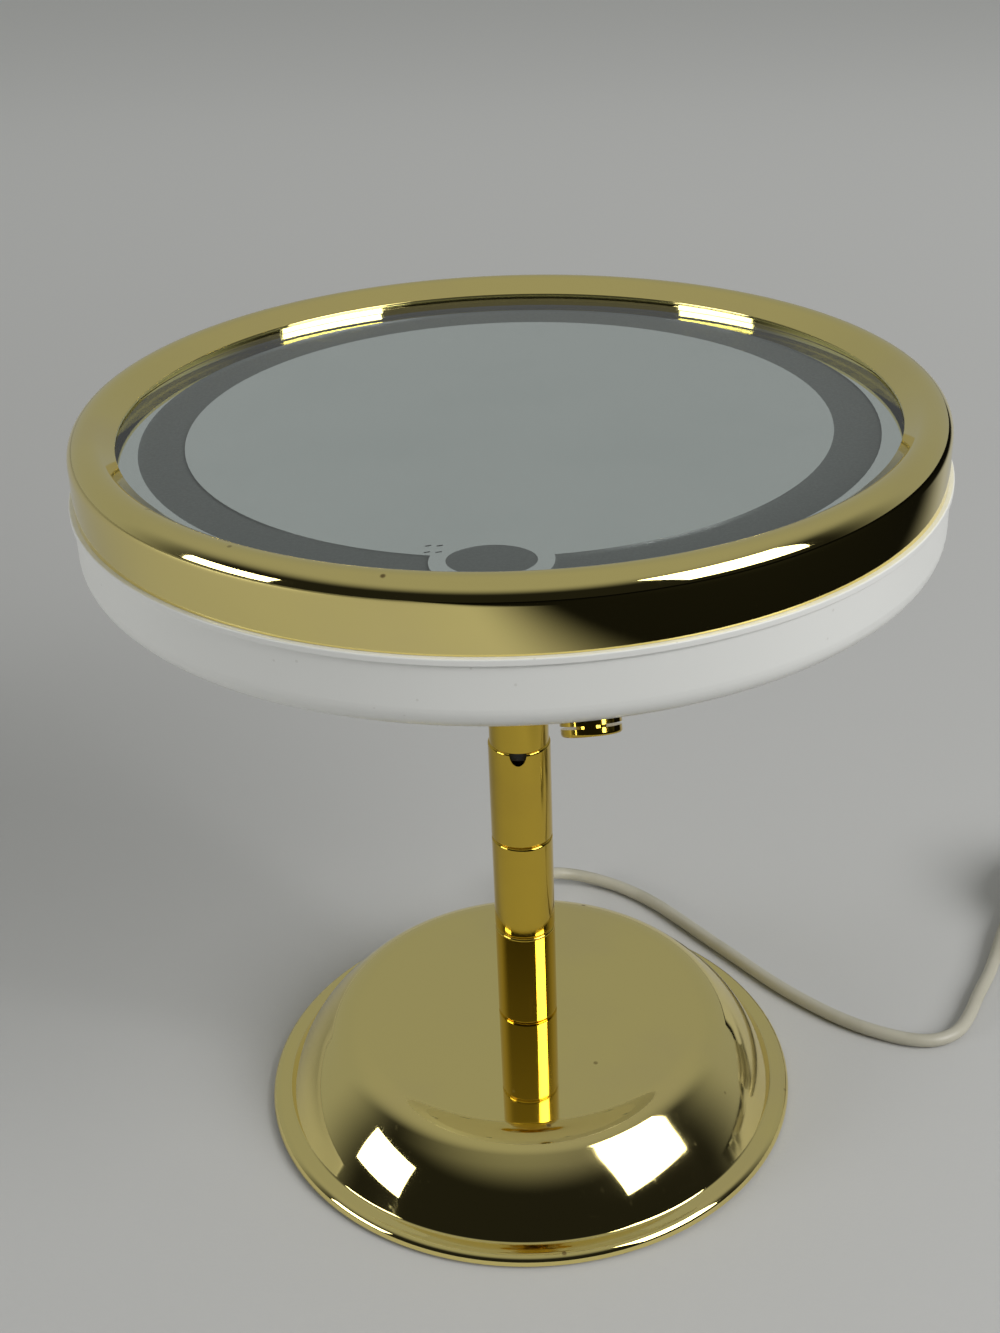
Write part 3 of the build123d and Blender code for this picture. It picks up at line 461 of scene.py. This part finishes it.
def base_skin():
    """The base's gold shell, spun as one smooth skin and then given its wall."""
    low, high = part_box("base_shell")
    pipe_hole = 5.2 * MM
    lip_height = 3.6 * MM
    lip_shelf = 5.0 * MM
    wall = 1.2 * MM
    bends = (12 * MM, 55 * MM, 1 * MM, 2.4 * MM)
    shoulder_slope = math.tan(math.radians(45.0))
    flank_slope = math.tan(math.radians(60.0))
    knee_height = (high.z + lip_height) / 2
    foot = high.x - lip_shelf
    knee = foot - (knee_height - lip_height) / flank_slope
    shoulder = knee - (high.z - knee_height) / shoulder_slope
    corners = [
        Vector((pipe_hole, 0, high.z)),
        Vector((shoulder, 0, high.z)),
        Vector((knee, 0, knee_height)),
        Vector((foot, 0, lip_height)),
        Vector((high.x, 0, lip_height)),
        Vector((high.x, 0, low.z)),
    ]
    shape = turned(rounded_profile(corners, bends), (0, 0, 0), (0, 0, 1), steps=240)
    bmesh.ops.remove_doubles(shape, verts=shape.verts, dist=weld)
    bmesh.ops.recalc_face_normals(shape, faces=shape.faces)
    bmesh.ops.solidify(shape, geom=shape.faces[:], thickness=wall)
    skin = keep_piece("base_skin", to_mesh("base_skin", shape, gold), "base")
    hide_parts("base_shell")


def ring_skin():
    """The gold ring around the glass, spun with softened edges so that reflections run smoothly over it."""
    low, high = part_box("bezel_ring")
    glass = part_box("mirror_glass")[1]
    band = 10.7 * MM
    lip_edge = 0.7 * MM
    wall = 1.8 * MM
    seat_rise = 4.9 * MM
    pocket_gap = 0.2 * MM
    crown = 4.62 * MM
    softened = 0.25 * MM
    band_slope = math.tan(math.radians(37.0))
    pocket = glass.x + pocket_gap
    seat = low.z + seat_rise
    lip = high.x - band
    lip_top = glass.z + lip_edge
    corners = [
        Vector((pocket, 0, glass.z)),
        Vector((lip, 0, glass.z)),
        Vector((lip, 0, lip_top)),
        Vector((high.x, 0, lip_top + band * band_slope)),
        Vector((high.x, 0, low.z)),
        Vector((high.x - wall, 0, low.z)),
        Vector((high.x - wall, 0, seat)),
        Vector((pocket, 0, seat)),
        Vector((pocket, 0, glass.z)),
    ]
    bends = (softened, softened, crown, softened, softened, softened, softened)
    shape = turned(rounded_profile(corners, bends, arc_steps=14), (0, 0, 0), (0, 0, 1), steps=256)
    ring = keep_piece("ring_skin", to_mesh("ring_skin", shape, gold), "head")
    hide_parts("bezel_ring")


def touch_window():
    """The etched oval of the touch mark, which closes its opening in the silvering."""
    low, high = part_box("mirror_silvering")
    half_width = 8.98 * MM
    half_height = 6.98 * MM
    from_middle = 75.4 * MM
    under = 0.08 * MM
    shape = bmesh.new()
    bmesh.ops.create_circle(shape, cap_ends=True, segments=96, radius=1.0)
    bmesh.ops.scale(shape, vec=(half_width, half_height, 1), verts=shape.verts)
    bmesh.ops.translate(shape, vec=(0, -from_middle, low.z), verts=shape.verts)
    grown = bmesh.ops.extrude_face_region(shape, geom=shape.faces[:], use_keep_orig=True)
    raised = [part for part in grown["geom"] if isinstance(part, bmesh.types.BMVert)]
    bmesh.ops.translate(shape, vec=(0, 0, high.z - low.z - under), verts=raised)
    keep_piece("touch_window", to_mesh("touch_window", shape, frosted), "head")


# Supply lead, in millimetres: the route runs from inside the boot to the coil, and the tail on to the plug
exit_point = (0.0, 73.9, 9.0)
lead_diameter = 3.8
lead_route = [
    (0.0, 71.0, 9.0),
    exit_point,
    (0.0, 81.5, 9.0),
    (3.0, 88.0, 7.0),
    (9.5, 91.5, 4.4),
    (18.5, 91.0, 2.6),
    (28.0, 86.5, 2.0),
    (37.5, 78.5, 2.0),
    (46.0, 68.5, 2.0),
    (54.0, 58.8, 2.0),
    (62.2, 49.2, 2.0),
    (71.0, 38.6, 2.0),
    (80.5, 29.0, 2.0),
    (92.0, 19.6, 2.0),
    (104.8, 13.4, 2.0),
    (114.0, 11.8, 2.0),
    (121.6, 15.4, 2.0),
    (126.6, 23.4, 2.0),
    (130.8, 33.2, 2.0),
    (136.8, 44.4, 2.1),
    (145.2, 66.8, 3.2),
    (152.8, 80.9, 3.2),
]
tail_route = [
    (199.6, 59.05, 16.1),
    (197.0, 52.55, 16.1),
    (193.9, 44.1, 12.6),
    (190.0, 34.9, 7.2),
    (186.3, 27.75, 3.9),
    (182.6, 20.65, 3.9),
]
coil_centre = (177.8, 73.4)
coil_start_angle = 155.0
coil_radius = 25.6
coil_pitch = 4.3
coil_floor = 3.2
coil_layer_step = 4.3
coil_layers = 4
turns_per_layer = 2.375
points_per_turn = 24


def climb_share(past):
    """The share of one layer that is climbed, in the half turn around a reversal."""
    quarter_turn_share = 0.25
    reach = max(-1, min(1, past / quarter_turn_share))
    return (1 + math.sin(reach * math.pi / 2)) / 2


def coil_point(turn):
    """A point of the coil, which spirals in and out and climbs a layer at each reversal."""
    layer = min(int(turn / turns_per_layer), coil_layers - 1)
    into_layer = turn - layer * turns_per_layer
    from_outside = into_layer if layer % 2 == 0 else turns_per_layer - into_layer
    radius = coil_radius - coil_pitch * from_outside
    climbed = sum(climb_share(turn - level * turns_per_layer) for level in range(1, coil_layers))
    heading = math.radians(coil_start_angle - 360 * turn)
    return (
        coil_centre[0] + radius * math.cos(heading),
        coil_centre[1] + radius * math.sin(heading),
        coil_floor + coil_layer_step * climbed,
    )


def supply_lead():
    """The whole lead from the boot to the plug, as one smooth spline."""
    coil_steps = round(points_per_turn * coil_layers * turns_per_layer)
    coil_route = [coil_point(step / points_per_turn) for step in range(coil_steps + 1)]
    route = lead_route + coil_route + tail_route
    curve = bpy.data.curves.new("supply_lead", "CURVE")
    curve.dimensions = "3D"
    curve.bevel_depth = lead_diameter / 2 * MM
    curve.bevel_resolution = 5
    curve.use_fill_caps = True
    spline = curve.splines.new("NURBS")
    spline.points.add(len(route) - 1)
    for point, place in zip(spline.points, route):
        point.co = (*(MM * Vector(place)), 1.0)
    spline.order_u = 3
    spline.use_endpoint_u = True
    spline.resolution_u = 6
    curve.materials.append(jacket)
    lead = keep_piece("supply_lead", curve, "base")
    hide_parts("power_cord", "cord_coil", "plug_lead")
    return lead


def lead_boot():
    """The ribbed sleeve that the lead leaves the base through."""
    root_radius = 3.2 * MM
    tip_radius = 2.35 * MM
    groove = 0.45 * MM
    root = 56.0 * MM
    ribs_start = 66.2 * MM
    tip = exit_point[1] * MM
    height = exit_point[2] * MM
    rib_count = 5
    points = [(0, root, height), (root_radius, root, height), (root_radius, ribs_start, height)]
    rib_length = (tip - ribs_start) / rib_count
    rib_shares = ((0.15, 1), (0.6, 1), (0.7, 0), (0.95, 0))
    for rib in range(rib_count):
        for along_share, full in rib_shares:
            along = (rib + along_share) / rib_count
            outer = root_radius + (tip_radius - root_radius) * along
            radius = outer if full else outer - groove
            points.append((radius, ribs_start + (rib + along_share) * rib_length, height))
    points.append((lead_diameter / 2 * MM, tip, height))
    points.append((0, tip, height))
    shape = turned(points, (0, 0, height), (0, 1, 0))
    boot = keep_piece("lead_boot", to_mesh("lead_boot", shape, jacket), "base")
    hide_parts("cord_boot")


def mirror_pane():
    """The mirror's clear glass, a hair above the silvering, with ground edges."""
    low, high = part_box("mirror_glass")
    radius = high.x
    clear = 0.06 * MM
    ground = 0.3 * MM
    points = [
        (0, 0, low.z + clear),
        (radius - ground, 0, low.z + clear),
        (radius, 0, low.z + clear + ground),
        (radius, 0, high.z - ground),
        (radius - ground, 0, high.z),
        (0, 0, high.z),
    ]
    shape = turned(points, (0, 0, 0), (0, 0, 1), steps=160)
    glass = keep_piece("mirror_pane", to_mesh("mirror_pane", shape, pane), "head")
    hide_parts("mirror_glass")


def block(size, centre):
    """A loose box for cutting, as an object that is deleted after its cut."""
    shape = bmesh.new()
    bmesh.ops.create_cube(shape, size=1.0)
    bmesh.ops.scale(shape, vec=size, verts=shape.verts)
    bmesh.ops.translate(shape, vec=centre, verts=shape.verts)
    cutter = bpy.data.objects.new("cutter", to_mesh("cutter", shape, zinc))
    bpy.context.scene.collection.objects.link(cutter)
    return cutter


def cut_away(mesh, cutters):
    """The mesh with every cutter's room taken out of it."""
    whole = bpy.data.objects.new("whole", mesh)
    bpy.context.scene.collection.objects.link(whole)
    for cutter in cutters:
        cut = whole.modifiers.new("cut", "BOOLEAN")
        cut.operation = "DIFFERENCE"
        cut.object = cutter
    bpy.context.view_layer.update()
    result = bpy.data.meshes.new_from_object(whole.evaluated_get(bpy.context.evaluated_depsgraph_get()))
    for used in [whole, *cutters]:
        bpy.data.objects.remove(used)
    return result


def screw_pattern(head_radius, head_height, shank_radius, shank_length):
    """One pan head screw pointing up, its head under the origin, with a cross recess in the head."""
    dome_shares = ((0.45, 1.0), (0.75, 0.9), (0.93, 0.65), (1.0, 0.3))
    recess_width = 0.24 * head_radius
    recess_length = 1.15 * head_radius
    recess_depth = 0.6 * head_height
    points = [(0, 0, -head_height)]
    points += [(out * head_radius, 0, -down * head_height) for out, down in dome_shares]
    points += [
        (head_radius, 0, 0),
        (shank_radius, 0, 0),
        (shank_radius, 0, shank_length),
        (0, 0, shank_length),
    ]
    head = to_mesh("screw", turned(points, (0, 0, 0), (0, 0, 1), steps=32), zinc)
    middle = (0, 0, -head_height)
    cutters = [
        block((recess_length, recess_width, 2 * recess_depth), middle),
        block((recess_width, recess_length, 2 * recess_depth), middle),
    ]
    return cut_away(head, cutters)


def set_of_screws(name, pattern, places, body, node):
    """Copies of one screw at their places, each with its recess turned its own way."""
    turn_step = 0.9
    shape = bmesh.new()
    for index, place in enumerate(places):
        known = len(shape.verts)
        shape.from_mesh(pattern)
        shape.verts.ensure_lookup_table()
        move = Matrix.Translation(place) @ Matrix.Rotation(index * turn_step, 4, "Z")
        bmesh.ops.transform(shape, matrix=move, verts=shape.verts[known:])
    screws = keep_piece(name, to_mesh(name, shape, zinc), body)
    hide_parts(node)


def back_screws():
    """The screws that hold the back cover, and those that hold the hinge bracket to it."""
    back_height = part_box("back_cover")[0].z
    cover_circle = 69.0 * MM
    cover_count = 6
    bracket_flange = 2.5 * MM
    bracket_half = 10.0 * MM
    spoke = Vector((cover_circle, 0, back_height))
    turns = [Matrix.Rotation(math.tau * step / cover_count, 3, "Z") for step in range(cover_count)]
    small = screw_pattern(
        head_radius=2.8 * MM, head_height=1.7 * MM, shank_radius=1.5 * MM, shank_length=4 * MM
    )
    large = screw_pattern(
        head_radius=3.5 * MM, head_height=2.2 * MM, shank_radius=2 * MM, shank_length=7 * MM
    )
    corners = [
        (across * bracket_half, along * bracket_half, back_height - bracket_flange)
        for across in (-1, 1)
        for along in (-1, 1)
    ]
    set_of_screws("cover_cross_screws", small, [turn @ spoke for turn in turns], "head", "cover_screws")
    set_of_screws("bracket_cross_screws", large, corners, "head", "bracket_screws")


# Plug: its metal starts a grip's length past the lead's end and points along the heading
plug_heading = math.radians(-117.378)
plug_root = 37.0 * MM
casing_length = 11.8 * MM


def plug_stand():
    """The plug's own axes: Z runs out along the plug and Y is up."""
    forward = Vector((math.cos(plug_heading), math.sin(plug_heading), 0))
    across = Vector((-forward.y, forward.x, 0))
    stand = Matrix((across, (0, 0, 1), forward)).transposed().to_4x4()
    stand.translation = MM * Vector(tail_route[-1]) + plug_root * forward
    return stand


def plug_casing():
    """The plug's folded metal shell with its two latch windows."""
    width = 12.0 * MM
    height = 4.5 * MM
    sheet = 0.4 * MM
    window = 2.2 * MM
    window_spread = 5.0 * MM
    window_reach = 1.0 * MM
    shape = bmesh.new()
    bmesh.ops.create_cube(shape, size=1.0)
    bmesh.ops.scale(shape, vec=(width, height, casing_length), verts=shape.verts)
    bmesh.ops.translate(shape, vec=(0, 0, casing_length / 2), verts=shape.verts)
    ends = [face for face in shape.faces if abs(face.normal.z) > abs(face.normal.x) + abs(face.normal.y)]
    bmesh.ops.delete(shape, geom=ends, context="FACES_ONLY")
    bmesh.ops.solidify(shape, geom=shape.faces[:], thickness=sheet)
    tube = to_mesh("plug_tube", shape, zinc)
    holes = [
        block((window, 2 * height, window), (side * window_spread / 2, 0, casing_length / 2 + window_reach))
        for side in (-1, 1)
    ]
    metal = cut_away(tube, holes)
    metal.transform(plug_stand())
    casing = keep_piece("plug_casing", metal, "base")
    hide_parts("plug_shell")


def plug_contacts():
    """The four gold contacts on the plug's tongue."""
    places = (-3.4 * MM, -1.05 * MM, 1.05 * MM, 3.4 * MM)
    size = (1.1 * MM, 0.16 * MM, 7.5 * MM)
    tongue_under = -0.05 * MM
    strips = bmesh.new()
    for place in places:
        known = len(strips.verts)
        bmesh.ops.create_cube(strips, size=1.0)
        strips.verts.ensure_lookup_table()
        strip = strips.verts[known:]
        bmesh.ops.scale(strips, vec=size, verts=strip)
        bmesh.ops.translate(strips, vec=(place, tongue_under, casing_length / 2), verts=strip)
    bmesh.ops.transform(strips, matrix=plug_stand(), verts=strips.verts)
    keep_piece("plug_contacts", to_mesh("plug_contacts", strips, gold), "base")


base_skin()
ring_skin()
touch_window()
mirror_pane()
lead = supply_lead()
lead_boot()
plug_casing()
plug_contacts()
back_screws()


# Stage


def pale_floor():
    """A pale floor with painted light: painted paler towards the back, making up for the lamps' falloff,
    and near-black on the right for every ray but the camera's, a painted dark reflection in the metal.
    """
    floor_size = 8.0
    below = 0.1 * MM
    weave_depth = 0.04 * MM
    near_grey = (0.56, 0.56, 0.55, 1)
    drifted_grey = (0.60, 0.60, 0.59, 1)
    # Painted light: the floor's colour runs from near_grey to this paler grey towards the back, where the
    # lamps light it less.
    far_painted_light = (0.92, 0.92, 0.91, 1)
    painted_light_from = 0.1
    painted_light_to = 1.4
    # Painted dark reflection: on the right, every ray but the camera's finds the floor near-black, so the
    # metal mirrors darkness there.
    painted_reflection_black = (0.008, 0.008, 0.007, 1)
    dark_way = Vector((0.92, -0.392, 0))
    dark_from = 0.15
    dark_to = 0.35
    material, paint = new_finish("pale_floor")
    place = paint.place()
    weave = paint.noise(scale=900.0, detail=2.0)
    drift = paint.noise(scale=3.0, detail=2.0)
    beyond = paint.node("ShaderNodeSeparateXYZ", sockets={"Vector": place}, out="Y")
    near = paint.mix(drift, near_grey, drifted_grey)
    # Painted light: the floor is paler towards the back, for the lamps' falloff.
    tone_with_painted_light = paint.mix(paint.span(beyond, painted_light_from, painted_light_to), near, far_painted_light)
    reach = paint.along(place, dark_way)
    seen = paint.node("ShaderNodeLightPath", out="Is Camera Ray")
    # Painted dark reflection: near-black on the right, for all rays but the camera's.
    painted_dark_reflection = paint.span(reach, dark_from, dark_to) * (1 - seen)
    paint.finish(
        paint.surface(
            Base_Color=paint.mix(painted_dark_reflection, tone_with_painted_light, painted_reflection_black),
            Roughness=0.9,
            Specular_IOR_Level=0.0,
            Normal=paint.bump(weave, weave_depth),
        )
    )
    shape = bmesh.new()
    bmesh.ops.create_grid(shape, x_segments=1, y_segments=1, size=floor_size)
    bmesh.ops.translate(shape, vec=(0, 0, -below), verts=shape.verts)
    floor = bpy.data.objects.new("floor", to_mesh("floor", shape, material))
    bpy.context.scene.collection.objects.link(floor)


def studio_world():
    """Soft grey all round, lighter beyond the object and overhead than behind the camera."""
    away = Vector((-0.08, 0.997, 0))
    near_grey = (0.014, 0.014, 0.013, 1)
    far_grey = (0.31, 0.32, 0.315, 1)
    roof_grey = (0.34, 0.345, 0.33, 1)
    shown_grey = (0.42, 0.42, 0.41, 1)
    dim_until = -0.2
    lit_from = 0.42
    roof_start = 0.5
    roof_full = 0.9
    world = bpy.data.worlds.new("studio")
    world.use_nodes = True
    bpy.context.scene.world = world
    paint = Paint(world.node_tree)
    way = paint.node("ShaderNodeTexCoord", out="Generated")
    beyond = paint.along(way, away)
    upward = paint.node("ShaderNodeSeparateXYZ", sockets={"Vector": way}, out="Z")
    level = paint.mix(paint.span(beyond, dim_until, lit_from), near_grey, far_grey)
    roofed = paint.mix(paint.span(upward, roof_start, roof_full), level, roof_grey)
    seen = paint.node("ShaderNodeLightPath", out="Is Camera Ray")
    shown = paint.mix(seen, roofed, shown_grey)
    background = paint.node("ShaderNodeBackground", sockets={"Color": shown, "Strength": 1.0})
    paint.node("ShaderNodeOutputWorld", sockets={"Surface": background})


def window_light(name, side, rise, distance, width, height, power):
    """A window-like panel, placed by its turn from the front, its rise and its distance."""
    turn = math.radians(side)
    lift = math.radians(rise)
    target = Vector((0, 0, 0.12))
    way = Vector((math.sin(turn) * math.cos(lift), -math.cos(turn) * math.cos(lift), math.sin(lift)))
    lamp = bpy.data.lights.new(name, "AREA")
    lamp.shape = "RECTANGLE"
    lamp.size = width
    lamp.size_y = height
    lamp.energy = power
    panel = bpy.data.objects.new(name, lamp)
    panel.location = target + distance * way
    panel.rotation_euler = way.to_track_quat("Z", "Y").to_euler()
    bpy.context.scene.collection.objects.link(panel)


def photo_camera():
    """The camera at the photograph's place: a little right of the front, looking down."""
    stand = Vector((0.02152, -0.39203, 0.3432))
    turn = math.radians(3.74)
    tip = math.radians(61.6)
    roll = math.radians(-2.215)
    camera = bpy.data.cameras.new("camera")
    camera.lens = 48.61
    camera.sensor_width = 36.0
    viewer = bpy.data.objects.new("camera", camera)
    aim = Matrix.Rotation(turn, 3, "Z") @ Matrix.Rotation(tip, 3, "X") @ Matrix.Rotation(roll, 3, "Z")
    viewer.location = stand
    viewer.rotation_euler = aim.to_euler()
    bpy.context.scene.collection.objects.link(viewer)
    bpy.context.scene.camera = viewer


pale_floor()
studio_world()
window_light("right_window", side=60.0, rise=31.0, distance=1.7, width=1.0, height=1.0, power=23.0)
window_light("left_window", side=-67.0, rise=14.0, distance=1.7, width=0.75, height=0.55, power=8.0)
photo_camera()
bpy.context.scene.view_settings.view_transform = "Standard"
